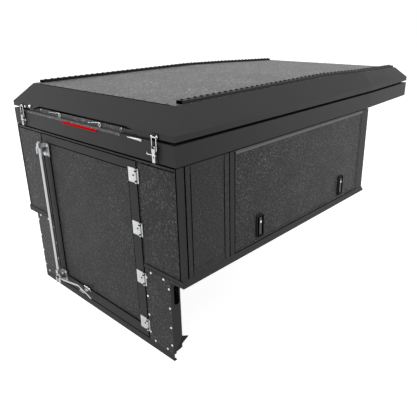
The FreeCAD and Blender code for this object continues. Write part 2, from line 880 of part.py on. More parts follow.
def rod_guides():
    """Saddles that the rod turns in, each on a tall foot bolted to the door."""
    rod_x = -s.rod_left
    rod_y = rear - s.rod_standoff
    reach = s.rod_radius + s.guide_wall
    made = []
    for level in (s.guide_high, -s.guide_low):
        high = level + s.guide_height
        saddle = block((rod_x - s.rod_radius, rod_y - reach, level), (rod_x + reach, rear, high))
        foot = block((rod_x - s.rod_radius, rear - s.guide_wall, high - s.guide_foot),
                     (rod_x - s.rod_radius + s.guide_reach, rear, high))
        bore = cylinder((rod_x, rod_y, level - s.sheet), "Z", s.rod_radius + s.rod_clearance,
                        s.guide_height + s.sheet * 2)
        made.append(cut(fuse(saddle, foot), bore))
    piece("rod_guides", together(*made))


def handle_catch():
    """A shelf and a stop on the door that the handle rests in."""
    start = s.catch_at - s.rod_left - s.catch_width / 2
    end = start + s.catch_width
    rod_y = rear - s.rod_standoff
    slope = s.handle_rise / (s.handle_length - s.handle_bend)
    highest = -s.handle_drop - s.handle_height + s.handle_rise
    handle_low = highest - slope * (s.catch_at + s.catch_width / 2 - s.handle_bend) - s.keeper_clearance
    handle_back = rod_y + s.handle_thickness / 2 + s.keeper_clearance
    shelf = block((start, rod_y - s.handle_thickness, handle_low - s.keeper_wall), (end, rear, handle_low))
    stop = block((start, handle_back, handle_low), (end, rear, handle_low + s.handle_height / 2))
    piece("handle_catch", fuse(shelf, stop))


# Side door, hinged along its top

def side_door(suffix, flip):
    def shown(name, *features):
        sides = [mirror(feature) if flip else feature for feature in features]
        piece(f"{name}_{suffix}", sides[0] if len(sides) == 1 else together(*sides))

    low = (side - s.side_door_depth, side_rear, s.side_door_low)
    high = (side, side_front, s.side_door_high)
    shown("side_door_skin", pan(low, high, (0, 1), s.side_door_border))
    inner_x = side - s.side_door_depth
    ring_low = (inner_x, side_rear + s.sheet, s.side_door_low + s.sheet)
    ring_high = (side - s.sheet, side_front - s.sheet, s.side_door_high - s.sheet)
    ring = cut(block(ring_low, ring_high),
               block((inner_x - s.sheet, ring_low[1] + s.stiffener, ring_low[2] + s.stiffener),
                     (side, ring_high[1] - s.stiffener, ring_high[2] - s.stiffener)))
    shown("side_door_frame", ring)
    places = [side_rear + s.paddle_first, side_rear + s.paddle_first + s.paddle_pitch]
    shown("paddle_frames", *(paddle_frame(place_y) for place_y in places))
    if flip:
        shown("side_hinge", hinge_strip(True), hinge_strip(False))
        shown("paddles", *(paddle(place_y) for place_y in places))
        return
    shown("side_hinge_base", hinge_strip(True))
    shown("side_hinge_leaf", hinge_strip(False))
    for place_y, where in zip(places, ("rear", "front")):
        shown(f"paddle_{where}", paddle(place_y))


def hinge_strip(fixed):
    """Half of the extruded hinge over the side door: a round channel, or the bead that turns in it."""
    axis_x = side + s.strip_radius
    axis_z = s.side_door_high + s.side_door_gap / 2
    length = side_front - side_rear
    if fixed:
        plate = block((side, side_rear, axis_z + s.strip_radius / 2),
                      (side + s.strip_thickness, side_front, axis_z + s.strip_leaf))
        channel = cylinder((axis_x, side_rear, axis_z), "Y", s.strip_radius, length)
        bore = cylinder((axis_x, side_rear - s.sheet, axis_z), "Y", s.strip_bead + s.pin_clearance,
                        length + s.sheet * 2)
        reach = s.strip_radius * 2
        mouth = profile("XZ_Plane", [
            (axis_x, axis_z), (axis_x - s.strip_mouth, axis_z - reach), (axis_x + reach, axis_z - reach),
            (axis_x + reach, axis_z + s.strip_mouth),
        ], side_rear - s.sheet, side_front + s.sheet)
        return cut(fuse(plate, channel), bore, mouth)
    low = axis_z - s.strip_leaf
    neck_half = s.strip_neck / 2
    bead = cylinder((axis_x, side_rear, axis_z), "Y", s.strip_bead, length)
    leaf = profile("XZ_Plane", [
        (side, low), (axis_x + neck_half, low), (axis_x + neck_half, axis_z), (axis_x - neck_half, axis_z),
        (axis_x - neck_half, low + s.strip_thickness), (side + s.strip_thickness, low + s.strip_thickness),
        (side + s.strip_thickness, axis_z - s.strip_step), (side, axis_z - s.strip_step),
    ], side_rear, side_front)
    return fuse(leaf, bead)


def paddle_pin(centre, ease):
    """The pin through a paddle's top edge, or the hole that it turns in."""
    reach = s.paddle_width / 2 + s.paddle_gap + s.paddle_pin_reach + ease
    pin_x = side + s.paddle_frame - s.paddle_thickness / 2
    pin_z = s.paddle_level + s.paddle_height / 2 - s.paddle_pin_drop
    return cylinder((pin_x, centre - reach, pin_z), "Y", s.paddle_pin + ease, reach * 2)


def paddle_frame(centre):
    """A shallow cup that sits in the door's pressed field and holds the paddle's pin."""
    inner_y = s.paddle_width / 2 + s.paddle_gap
    inner_z = s.paddle_height / 2 + s.paddle_gap
    outer_y = inner_y + s.paddle_border
    outer_z = inner_z + s.paddle_border
    rim = rounded_block((side - s.emboss_depth, centre - outer_y, s.paddle_level - outer_z),
                        (side + s.paddle_frame, centre + outer_y, s.paddle_level + outer_z), s.paddle_corner)
    cup = rounded_block((side, centre - inner_y, s.paddle_level - inner_z),
                        (side + s.paddle_frame * 2, centre + inner_y, s.paddle_level + inner_z),
                        s.cup_corner)
    return cut(rim, cup, paddle_pin(centre, s.pin_clearance))


def paddle(centre):
    face = side + s.paddle_frame
    half_y = s.paddle_width / 2
    half_z = s.paddle_height / 2
    plate = rounded_block((face - s.paddle_thickness, centre - half_y, s.paddle_level - half_z),
                          (face, centre + half_y, s.paddle_level + half_z),
                          s.cup_corner - s.paddle_gap)
    return fuse(plate, paddle_pin(centre, ZERO))


# Over-centre toggle latches that hold the lid down

def latch_base(centre, pivot_y, pivot_z):
    """A plate on the tray with two round-ended ears for the lever's rivet."""
    rivet = s.rivet_radius
    plate = block((centre - s.latch_half, rear - s.latch_plate, top),
                  (centre + s.latch_half, rear, pivot_z + s.latch_standoff))
    ears = []
    for start in (centre - s.ear_half, centre + s.ear_half - s.cheek):
        ears.append(cylinder((start, pivot_y, pivot_z), "X", rivet * 2, s.cheek))
        ears.append(block((start, pivot_y, pivot_z - rivet * 2),
                          (start + s.cheek, rear - s.latch_plate / 2, pivot_z + rivet * 2)))
    hole = cylinder((centre - s.latch_half, pivot_y, pivot_z), "X", rivet + s.rivet_clearance,
                    s.latch_half * 2)
    return cut(fuse(plate, *ears), hole)


def latch_lever(centre, pivot_y, pivot_z, pin_y, pin_z):
    """A hand lever with two cheeks, a rivet through the ears, a hole for the bail and a thumb tab."""
    rivet = s.rivet_radius
    cheek_outer = s.ear_half + s.cheek_gap + s.cheek
    face_y = pivot_y - rivet * 3
    tail_top = pin_z - rivet * 3
    face = block((centre - cheek_outer, face_y, tail_top),
                 (centre + cheek_outer, face_y + s.cheek, pivot_z - rivet * 4))
    tail = block((centre - s.latch_half, face_y, pin_z - s.latch_tail),
                 (centre + s.latch_half, face_y + s.cheek, tail_top))
    cheeks = []
    for start in (centre - cheek_outer, centre + cheek_outer - s.cheek):
        cheeks.append(block((start, face_y, tail_top),
                            (start + s.cheek, pivot_y + rivet * 2, pivot_z + rivet * 2)))
    through = cylinder((centre - cheek_outer, pivot_y, pivot_z), "X", rivet, cheek_outer * 2)
    hole = cylinder((centre - cheek_outer * 2, pin_y, pin_z), "X", s.wire_radius + s.rivet_clearance,
                    cheek_outer * 4)
    tab_y = face_y + s.cheek / 2
    tab_z = pivot_z - s.tab_drop
    arm = cylinder((centre - s.tab_reach, tab_y, tab_z), "X", rivet, s.tab_reach + s.tab_past)
    tip = cylinder((centre - s.tab_reach + rivet, tab_y, tab_z), "Z", rivet, s.tab_rise)
    slot_high = tab_z - rivet * 2
    slot = block((centre - s.lever_slot_width / 2, face_y - s.sheet, slot_high - s.lever_slot_height),
                 (centre + s.lever_slot_width / 2, face_y + s.sheet, slot_high))
    return cut(fuse(face, tail, through, arm, tip, *cheeks), hole, slot)


def latch_bail(centre, pin_y, pin_z, bar_z):
    """A closed wire loop outside the lever's cheeks, with its bar over the lid's tongue."""
    spread = s.ear_half + s.cheek + s.cheek_gap * 2 + s.wire_radius
    return wire_loop(centre, pin_y, spread, pin_z, bar_z, s.wire_radius)


def latch_keeper(centre):
    """A tongue on the lid's lip that the bail's bar pulls down on."""
    tongue_top = lip_low + s.lid_gap / 2
    backing = block((centre - s.keeper_half, rear - s.latch_plate, lip_low + s.sheet / 2),
                    (centre + s.keeper_half, rear, lip_top - s.sheet / 2))
    tongue = block((centre - s.tongue_half, rear - s.tongue_reach, tongue_top - s.sheet),
                   (centre + s.tongue_half, rear - s.latch_plate / 2, tongue_top))
    return fuse(backing, tongue)


def latches():
    centre = s.latch_at
    pivot_y = rear - s.latch_standoff
    pivot_z = top + s.latch_pivot
    pin_y = pivot_y + s.over_centre
    pin_z = pivot_z - s.latch_crank
    bar_z = lip_low + s.lid_gap / 2 + s.tongue_clearance + s.wire_radius
    both("latch_bases", latch_base(centre, pivot_y, pivot_z))
    pair("latch_lever", latch_lever(centre, pivot_y, pivot_z, pin_y, pin_z))
    pair("latch_bail", latch_bail(centre, pin_y, pin_z, bar_z))
    both("latch_keepers", latch_keeper(centre))


def brake_light():
    level = tray_top - s.light_below
    piece("brake_light", block((-s.light_half, rear - s.light_depth, level - s.light_height),
                               (s.light_half, rear, level)))


base_rails()
posts()
walls()
skirts()
tray()
lid()
lid_hinges()
rear_door()
rear_hinges()
lock_rod()
keepers()
rod_guides()
handle_catch()
side_door("right", False)
side_door("left", True)
latches()
brake_light()

doc.recompute()

for feature in doc.Objects:
    if "Invalid" in feature.State or "Error" in feature.State:
        raise RuntimeError(f"{feature.Name} ({feature.Label}) did not build: {feature.State}")
for feature in PIECES:
    if feature.Shape.isNull() or not feature.Shape.isValid():
        raise RuntimeError(f"{feature.Label} has no valid shape")

os.makedirs("parts", exist_ok=True)
for feature in PIECES:
    feature.Shape.exportStep(f"parts/{feature.Label}.step")
print(len(PIECES), "pieces written")
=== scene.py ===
# Finishes, fasteners, seals, painted shade, small fittings, camera and light for a pickup truck canopy.
# Metres throughout: X to the vehicle's right, Y forward, Z up, as in the imported model.
import math

import bmesh
import bpy
from mathutils import Matrix, Vector


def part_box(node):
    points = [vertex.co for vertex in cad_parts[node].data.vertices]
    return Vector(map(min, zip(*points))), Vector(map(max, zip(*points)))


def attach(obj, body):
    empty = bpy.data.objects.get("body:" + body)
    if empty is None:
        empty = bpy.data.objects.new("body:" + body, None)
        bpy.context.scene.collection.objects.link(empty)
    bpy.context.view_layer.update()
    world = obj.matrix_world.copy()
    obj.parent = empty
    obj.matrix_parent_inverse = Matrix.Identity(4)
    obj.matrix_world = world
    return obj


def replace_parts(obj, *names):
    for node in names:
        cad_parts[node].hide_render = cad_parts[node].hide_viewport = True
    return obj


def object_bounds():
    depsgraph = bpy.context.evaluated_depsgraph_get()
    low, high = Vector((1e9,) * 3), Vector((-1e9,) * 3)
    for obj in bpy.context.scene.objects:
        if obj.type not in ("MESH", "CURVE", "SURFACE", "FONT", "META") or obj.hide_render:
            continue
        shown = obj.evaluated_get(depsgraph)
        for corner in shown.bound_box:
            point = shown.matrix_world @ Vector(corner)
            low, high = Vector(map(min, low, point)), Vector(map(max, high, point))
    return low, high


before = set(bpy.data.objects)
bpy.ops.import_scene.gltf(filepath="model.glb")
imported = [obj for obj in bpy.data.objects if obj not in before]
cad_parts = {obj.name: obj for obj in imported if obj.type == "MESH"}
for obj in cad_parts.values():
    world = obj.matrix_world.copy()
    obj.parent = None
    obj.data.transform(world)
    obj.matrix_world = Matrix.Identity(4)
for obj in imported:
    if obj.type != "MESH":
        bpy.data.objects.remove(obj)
cad_low, cad_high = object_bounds()

MM = 0.001

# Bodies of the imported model
CANOPY = "canopy"
LID = "lid"
REAR_DOOR = "rear_door"
LOCK_ROD = "lock_rod"
PADDLES = ("paddle_rear", "paddle_front")

# Planes and levels that the fittings stand on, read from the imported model
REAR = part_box("rear_header")[0].y
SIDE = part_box("side_door_skin_right")[1].x
RAIL_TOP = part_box("bed_rails")[1].z
WALL_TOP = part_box("side_headers")[1].z
TRAY_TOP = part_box("tray_rear")[1].z
LIP_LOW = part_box("lid_shell")[0].z
FLOOR_LEVEL = cad_low.z

# Directions that fasteners face
BACK = Vector((0, -1, 0))
UP = Vector((0, 0, 1))
RIGHT = Vector((1, 0, 0))


# Nodes

def linear(colour):
    """The linear colour of an sRGB hex value."""
    parts = [int(colour[i:i + 2], 16) / 255 for i in (0, 2, 4)]
    return (*(c / 12.92 if c <= 0.04045 else ((c + 0.055) / 1.055) ** 2.4 for c in parts), 1.0)


def node(tree, kind, inputs=None, **settings):
    """Adds a node. An input is a plain value, or the socket that feeds it."""
    made = tree.nodes.new(kind)
    for name, value in settings.items():
        setattr(made, name, value)
    for name, value in (inputs or {}).items():
        if isinstance(value, bpy.types.NodeSocket):
            tree.links.new(value, made.inputs[name])
        else:
            made.inputs[name].default_value = value
    return made


def object_place(tree):
    """Where each point lies in its piece's own frame, in metres."""
    return node(tree, "ShaderNodeTexCoord").outputs["Object"]


def noise(tree, place, size, **sockets):
    """Soft random values that change over about one size."""
    return node(tree, "ShaderNodeTexNoise", {"Vector": place, "Scale": 1 / size, **sockets}).outputs[0]


def remapped(tree, value, limits, **settings):
    """A value brought from one range into another."""
    return node(tree, "ShaderNodeMapRange", {"Value": value, **limits}, **settings).outputs[0]


def worked_out(tree, operation, *values):
    """The result of one step of arithmetic on sockets and plain values."""
    return node(tree, "ShaderNodeMath", dict(enumerate(values)), operation=operation).outputs[0]


def surface(name, **sockets):
    """A new material, its node tree and its shader with plain values set."""
    material = bpy.data.materials.new(name)
    material.use_nodes = True
    tree = material.node_tree
    shader = tree.nodes["Principled BSDF"]
    for socket, value in sockets.items():
        shader.inputs[socket.replace("_", " ")].default_value = value
    return material, tree, shader


def two_tone(tree, shader, amount, dark, light):
    """Lets the colour drift between two hex values."""
    mix = node(tree, "ShaderNodeMix", {"Factor": amount}, data_type="RGBA")
    colours = [socket for socket in mix.inputs if socket.type == "RGBA"]
    colours[0].default_value = linear(dark)
    colours[1].default_value = linear(light)
    result = next(socket for socket in mix.outputs if socket.type == "RGBA")
    tree.links.new(result, shader.inputs["Base Color"])


def relief(tree, shader, height, strength, depth):
    """Raises and sinks the surface by a pattern."""
    bump = node(tree, "ShaderNodeBump", {"Height": height, "Strength": strength, "Distance": depth})
    tree.links.new(bump.outputs[0], shader.inputs["Normal"])


# Finishes

PEBBLE = 8 * MM
ROOF_PEBBLE = 14 * MM
SKIRT_FLANGE = 643.5 * MM
SURROUND_HALF_WIDTH = 24 * MM
SURROUND_HALF_HEIGHT = 56 * MM


def stucco_coat(name, dark, light, pebble=PEBBLE, depth=0.9 * MM, gloss=0.12, plain_from=None):
    """Aluminium sheet rolled with a stucco pattern, then powder coated.
    The eye gets worm-like pebbles, and painted highlights: lighter flecks on their tops where they would
    catch the light, more in some patches.
    Further out to either side than plain_from the sheet is a smooth flange."""
    material, tree, shader = surface(name, Roughness=0.45, Specular_IOR_Level=gloss)
    place = object_place(tree)
    worms = noise(tree, place, pebble, Detail=2.0, Roughness=0.6, Distortion=0.9)
    raised = remapped(tree, worms, {"From Min": 0.42, "From Max": 0.66}, interpolation_type="SMOOTHSTEP")
    flecks = remapped(tree, worms, {"From Min": 0.52, "From Max": 0.68})
    patches = noise(tree, place, 14 * pebble, Detail=2.0)
    catch = remapped(tree, patches, {"From Min": 0.4, "From Max": 0.6, "To Min": 0.55})
    # The light colour goes only on these flecks, as painted highlight.
    painted_glints = worked_out(tree, "MULTIPLY", flecks, catch)
    strength = 1.0
    if plain_from is not None:
        across = node(tree, "ShaderNodeSeparateXYZ", {"Vector": place}).outputs["X"]
        strength = worked_out(tree, "LESS_THAN", worked_out(tree, "ABSOLUTE", across), plain_from)
        painted_glints = worked_out(tree, "MULTIPLY", painted_glints, strength)
    relief(tree, shader, raised, strength, depth)
    two_tone(tree, shader, painted_glints, dark, light)
    return material


def smooth_coat(name, dark, light):
    """Folded steel and aluminium sheet, powder coated satin.
    The eye gets one even dark tone with a faint orange peel and slow drifts of gloss."""
    material, tree, shader = surface(name, Specular_IOR_Level=0.12)
    place = object_place(tree)
    drift = noise(tree, place, 180 * MM, Detail=3.0)
    gloss = remapped(tree, drift, {"To Min": 0.48, "To Max": 0.6})
    tree.links.new(gloss, shader.inputs["Roughness"])
    peel = noise(tree, place, 2.5 * MM, Detail=1.0)
    relief(tree, shader, peel, strength=0.5, depth=0.05 * MM)
    two_tone(tree, shader, drift, dark, light)
    return material


def brushed_stainless(name, streak):
    """Stainless steel sheet, belt brushed.
    The eye gets fine streaks along the grain and a bright, soft reflection."""
    material, tree, shader = surface(name, Metallic=1.0)
    grain = node(tree, "ShaderNodeMapping", {"Vector": object_place(tree), "Scale": streak})
    lines = noise(tree, grain.outputs[0], 1.2 * MM, Detail=3.0, Roughness=0.6)
    rough = remapped(tree, lines, {"To Min": 0.22, "To Max": 0.42})
    tree.links.new(rough, shader.inputs["Roughness"])
    relief(tree, shader, lines, strength=0.4, depth=0.03 * MM)
    two_tone(tree, shader, lines, "8e8f91", "c6c7c8")
    return material


def anodised():
    """Extruded aluminium, anodised dull grey.
    The eye gets a soft grey metal with faint lines from the die along its length."""
    material, tree, shader = surface("aluminium_extruded_anodised", Metallic=1.0, Roughness=0.6)
    along = node(tree, "ShaderNodeMapping", {"Vector": object_place(tree), "Scale": (6.0, 0.2, 6.0)})
    two_tone(tree, shader, noise(tree, along.outputs[0], 2 * MM), "4a4b4c", "606162")
    return material


def zinc_plated():
    """Steel fasteners, cold headed and zinc plated.
    The eye gets a bright metal with a slightly cloudy bluish passivation."""
    material, tree, shader = surface("steel_headed_zinc_plated", Metallic=1.0, Roughness=0.3)
    two_tone(tree, shader, noise(tree, object_place(tree), 6 * MM, Detail=2.0), "b4b7ba", "dcdcda")
    return material


def grained_polymer(name, dark, light, roughness, grain, depth, gloss=0.0):
    """A moulded or gunned black polymer with a fine grain.
    The eye gets a dull surface whose highlights break up."""
    material, tree, shader = surface(name, Roughness=roughness, Specular_IOR_Level=gloss)
    pits = node(tree, "ShaderNodeTexVoronoi", {"Vector": object_place(tree), "Scale": 1 / grain})
    relief(tree, shader, pits.outputs["Distance"], strength=0.6, depth=depth)
    two_tone(tree, shader, pits.outputs["Distance"], dark, light)
    return material


def paddle_surround():
    """Nylon moulding for the paddles, dead black round each opening, with its outer flange sprayed grey.
    The eye gets a narrow black frame that melts into the door's skin."""
    material, tree, shader = surface("nylon_black_moulded_sprayed_flange", Specular_IOR_Level=0.0,
                                     Roughness=0.7)
    axes = node(tree, "ShaderNodeSeparateXYZ", {"Vector": object_place(tree)}).outputs
    distances = []
    for body in PADDLES:
        low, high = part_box(f"{body}_right")
        offset = worked_out(tree, "SUBTRACT", axes["Y"], (low.y + high.y) / 2)
        distances.append(worked_out(tree, "ABSOLUTE", offset))
    rise = worked_out(tree, "SUBTRACT", axes["Z"], (low.z + high.z) / 2)
    beside = worked_out(tree, "GREATER_THAN", worked_out(tree, "MINIMUM", *distances), SURROUND_HALF_WIDTH)
    beyond = worked_out(tree, "GREATER_THAN", worked_out(tree, "ABSOLUTE", rise), SURROUND_HALF_HEIGHT)
    two_tone(tree, shader, worked_out(tree, "MAXIMUM", beside, beyond), "030303", "2f2f30")
    return material


def cast_zinc():
    """Die-cast zinc paddle, tumbled and clear coated.
    The eye gets a dark grey metal with a soft mottle."""
    material, tree, shader = surface("zinc_die_cast_tumbled", Metallic=1.0, Roughness=0.4,
                                     Coat_Weight=0.2, Coat_Roughness=0.15)
    mottle = noise(tree, object_place(tree), 4 * MM, Detail=3.0)
    relief(tree, shader, mottle, strength=0.3, depth=0.1 * MM)
    two_tone(tree, shader, mottle, "1f2022", "333436")
    return material


def lamp_lens():
    """Red polycarbonate lens over a row of light emitting diodes, injection moulded.
    The eye gets a saturated red with brighter spots at the diodes."""
    material, tree, shader = surface("polycarbonate_red_moulded", Roughness=0.5, IOR=1.58,
                                     Specular_IOR_Level=0.0)
    row = node(tree, "ShaderNodeTexWave", {"Vector": object_place(tree), "Scale": 1 / (64 * MM)},
               wave_type="BANDS", bands_direction="X")
    two_tone(tree, shader, row.outputs["Fac"], "a00000", "c40000")
    # A faint painted glow over the whole lens keeps its red bright.
    shader.inputs["Emission Color"].default_value = linear("ff0000")
    shader.inputs["Emission Strength"].default_value = 0.2
    return material


def bottle_glass():
    """Pressed dark green glass bead on the handle's hub.
    The eye gets a small spot of deep green."""
    material, tree, shader = surface("glass_dark_green_pressed", Roughness=0.2, Specular_IOR_Level=0.05)
    two_tone(tree, shader, noise(tree, object_place(tree), 5 * MM), "042a22", "094a3e")
    return material


STUCCO = stucco_coat("aluminium_stucco_rolled_powder_coated", "1f1f20", "656567")
SKIRT_STUCCO = stucco_coat("aluminium_stucco_rolled_folded_flange", "242425", "6b6b6d",
                           plain_from=SKIRT_FLANGE)
FLAT_STUCCO = stucco_coat("aluminium_stucco_rolled_thick_coat", "262627", "464647", depth=0.4 * MM)
# Painted light: the ledge's trim is made lighter to make up for the shade under the lid.
TRIM_STUCCO_PAINTED_LIGHT = stucco_coat("aluminium_stucco_rolled_painted_light", "4c4c4e", "a4a4a6")
# The roof's black coat is painted lighter than the walls', as painted sheen from the light above.
ROOF_STUCCO_PAINTED_SHEEN = stucco_coat("aluminium_stucco_rolled_roof_painted_sheen", "333334", "888889", pebble=ROOF_PEBBLE,
                          depth=1.3 * MM, gloss=0.25)
SATIN = smooth_coat("sheet_metal_powder_coated_satin", "272728", "2d2d2e")
# Painted light: the ledge's upstands get a lighter satin to make up for the lid's shade over them.
LEDGE_SATIN_PAINTED_LIGHT = smooth_coat("sheet_metal_powder_coated_ledge_painted_light", "38383a", "424244")
BLACK_SATIN = smooth_coat("sheet_metal_powder_coated_deep_black", "0c0c0d", "111112")
STAINLESS_UPRIGHT = brushed_stainless("stainless_steel_brushed_upright", streak=(6.0, 6.0, 0.5))
STAINLESS_LEVEL = brushed_stainless("stainless_steel_brushed_level", streak=(0.5, 6.0, 6.0))
ZINC = zinc_plated()
ANODISED = anodised()
NYLON = grained_polymer("nylon_black_moulded", "050505", "0a0a0a", roughness=0.5,
                        grain=0.8 * MM, depth=0.05 * MM, gloss=0.15)
BLACK_POLYMER = grained_polymer("nylon_black_matt_moulded", "020202", "060606", roughness=0.8,
                                grain=0.8 * MM, depth=0.05 * MM)
# Black sealant for the real seals and beads, also used for the strips and lines of painted shade.
SEALANT_AND_SHADE = grained_polymer("sealant_black_gunned_and_painted_shade", "010101", "040404", roughness=0.9,
                          grain=3 * MM, depth=0.1 * MM)
SURROUND = paddle_surround()
PADDLE = cast_zinc()
LENS = lamp_lens()
BEAD = bottle_glass()


def dress(finish, *names):
    """Gives CAD nodes a finish."""
    for name in names:
        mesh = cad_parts[name].data
        mesh.materials.clear()
        mesh.materials.append(finish)


dress(STUCCO, "front_wall", "rear_panel_left", "rear_panel_right", "rear_door_panel",
      "side_door_skin_left", "side_door_skin_right")
dress(FLAT_STUCCO, "side_panels")
dress(SKIRT_STUCCO, "rear_skirts")
dress(ROOF_STUCCO_PAINTED_SHEEN, "roof_skin")
dress(SATIN, "bed_rails", "front_rail", "front_posts", "mid_posts", "rear_posts", "rear_header",
      "side_headers", "rear_sill", "tray_rear", "tray_sides", "tray_nose", "tray_floor",
      "rear_door_frame", "side_door_frame_left", "side_door_frame_right", "lid_shell",
      "lid_hinge_bases", "lid_hinge_straps")
# The latch bases and tie brackets are deep black partly as painted shade: beside each lever and behind the
# skirts' slots.
dress(BLACK_SATIN, "roof_rails", "latch_keepers", "latch_bases", "tie_brackets")
dress(STAINLESS_UPRIGHT, "hinge_door_leaves", "hinge_frame_leaves", "latch_lever_left",
      "latch_lever_right", "latch_bail_left", "latch_bail_right", "lock_rod", "rod_guides",
      "rod_keepers")
dress(STAINLESS_LEVEL, "lock_handle", "handle_catch", "lashing_eyes")
dress(ANODISED, "side_hinge_base_right", "side_hinge_leaf_right", "side_hinge_left")
dress(SURROUND, "paddle_frames_left", "paddle_frames_right")
dress(PADDLE, "paddle_front_right", "paddle_rear_right", "paddles_left")
# The body gasket's black also stands in for the shade in the gap under the tray.
dress(SEALANT_AND_SHADE, "lid_seal", "body_gasket")
dress(LENS, "brake_light")


# Shapes of the fasteners and small fittings

SHARP_ANGLE = math.radians(38)


def mesh_of(bm, name):
    """Closes a modelling session: outward faces, then a mesh."""
    bmesh.ops.recalc_face_normals(bm, faces=bm.faces)
    mesh = bpy.data.meshes.new(name)
    bm.to_mesh(mesh)
    bm.free()
    return mesh


def turned(profile, sides):
    """A closed shape spun round Z from (radius, height) points that start and end on the axis."""
    bm = bmesh.new()
    points = [bm.verts.new((radius, 0, height)) for radius, height in profile]
    edges = [bm.edges.new(ends) for ends in zip(points, points[1:])]
    bmesh.ops.spin(bm, geom=points + edges, axis=(0, 0, 1), cent=(0, 0, 0), steps=sides, angle=math.tau,
                   use_merge=True)
    bmesh.ops.remove_doubles(bm, verts=bm.verts, dist=1e-6)
    return mesh_of(bm, "turned")


def dome_rivet(radius, height):
    """A low domed head with a square shoulder."""
    shoulder = height * 0.25
    arc = [(radius * math.cos(a), shoulder + (height - shoulder) * math.sin(a))
           for a in (0, math.radians(30), math.radians(58))]
    return turned([(0, 0), (radius, 0), *arc, (0, height)], sides=14)


def socket_button(radius, height):
    """A button head with a hexagon socket."""
    socket = radius * 0.48
    bm = bmesh.new()
    bm.from_mesh(turned([(0, 0), (radius, 0), (radius, height * 0.3), (radius * 0.86, height * 0.75),
                         (radius * 0.6, height), (0, height)], sides=24))
    tool = bmesh.ops.create_cone(bm, cap_ends=True, segments=6, radius1=socket, radius2=socket,
                                 depth=height * 0.3)["verts"]
    bmesh.ops.translate(bm, verts=tool, vec=(0, 0, height * 0.87))
    return mesh_of(bm, "button")


def block(low, high):
    """A modelling session with one block between two corners."""
    bm = bmesh.new()
    bmesh.ops.create_cube(bm, size=1.0)
    bmesh.ops.scale(bm, verts=bm.verts, vec=high - low)
    bmesh.ops.translate(bm, verts=bm.verts, vec=(low + high) / 2)
    return bm


def round_edges(bm, radius, segments):
    """Rounds every edge of a block."""
    bmesh.ops.bevel(bm, geom=bm.edges, offset=radius, offset_type="OFFSET", segments=segments,
                    affect="EDGES", profile=0.5, material=-1)


def bars(corners, radius, segments=1):
    """Straight bars with rounded edges, each between two corners, in one mesh."""
    meshes = []
    for low, high in corners:
        bm = block(Vector(low), Vector(high))
        round_edges(bm, radius, segments)
        meshes.append(mesh_of(bm, "bar"))
    return joined(meshes)


def folded_strip(section, start, end, thickness):
    """A sheet folded along X: its section is given as (y, z) points."""
    bm = bmesh.new()
    points = [bm.verts.new((start, y, z)) for y, z in section]
    edges = [bm.edges.new(ends) for ends in zip(points, points[1:])]
    run = bmesh.ops.extrude_edge_only(bm, edges=edges)["geom"]
    bmesh.ops.translate(bm, verts=[part for part in run if isinstance(part, bmesh.types.BMVert)],
                        vec=(end - start, 0, 0))
    bmesh.ops.solidify(bm, geom=bm.faces, thickness=thickness)
    return mesh_of(bm, "folded")


def wire_ring(corners, bend, gauge):
    """A closed loop of round wire through the corners, each bent to a radius."""
    curve = bpy.data.curves.new("wire", "CURVE")
    curve.dimensions = "3D"
    curve.bevel_depth = gauge / 2
    curve.bevel_resolution = 3
    spline = curve.splines.new("BEZIER")
    knots = []
    for before, corner, after in zip(corners[-1:] + corners[:-1], corners, corners[1:] + corners[:1]):
        back = (Vector(before) - Vector(corner)).normalized() * bend
        on = (Vector(after) - Vector(corner)).normalized() * bend
        knots.append((Vector(corner) + back, Vector(corner) + back * 1.3, Vector(corner) + back * 0.45))
        knots.append((Vector(corner) + on, Vector(corner) + on * 0.45, Vector(corner) + on * 1.3))
    spline.bezier_points.add(len(knots) - 1)
    for point, (place, arriving, leaving) in zip(spline.bezier_points, knots):
        point.co = place
        point.handle_left = arriving
        point.handle_right = leaving
    spline.use_cyclic_u = True
    carrier = bpy.data.objects.new("wire", curve)
    mesh = bpy.data.meshes.new_from_object(carrier)
    bpy.data.objects.remove(carrier)
    return mesh


def standing_ring(low, high, inset, bend, gauge):
    """A wire loop that stands across the vehicle between two corners of a box.
    The middle of its wire is an inset away from the box's edges."""
    y = (low.y + high.y) / 2
    left = low.x + inset
    right = high.x - inset
    bottom = low.z + inset
    top = high.z - inset
    return wire_ring([(left, y, bottom), (right, y, bottom), (right, y, top), (left, y, top)], bend, gauge)


def facing(direction, place):
    """Stands a shape made along +Z on a place, turned to face a direction."""
    return Matrix.Translation(place) @ direction.to_track_quat("Z", "Y").to_matrix().to_4x4()


def joined(meshes):
    """One mesh out of several."""
    bm = bmesh.new()
    for mesh in meshes:
        bm.from_mesh(mesh)
    made = bpy.data.meshes.new("joined")
    bm.to_mesh(made)
    bm.free()
    return made


def mirrored(corners):
    """The same bars on the vehicle's left side."""
    return [((-high[0], low[1], low[2]), (-low[0], high[1], high[2])) for low, high in corners]


def both_sides(corners):
    """Bars of the vehicle's right side, and the same on its left."""
    return corners + mirrored(corners)


def spread(start, end, pitch):
    """Evenly spaced values from start to end, close to a pitch apart."""
    count = max(1, round((end - start) / pitch))
    return [start + (end - start) * i / count for i in range(count + 1)]


def piece(name, mesh, body, finish):
    """A finished piece that rides on a body."""
    mesh.name = name
    mesh.materials.append(finish)
    for polygon in mesh.polygons:
        polygon.use_smooth = True
    mesh.set_sharp_from_angle(angle=SHARP_ANGLE)
    made = bpy.data.objects.new(name, mesh)
    bpy.context.scene.collection.objects.link(made)
    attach(made, body)
    return made


def fasteners(name, shape, direction, places, body, finish):
    """One piece with a copy of the shape at each place, all facing one way."""
    copies = []
    for place in places:
        copy = shape.copy()
        copy.transform(facing(direction, place))
        copies.append(copy)
    piece(name, joined(copies), body, finish)


# Roof rails and roof sheet

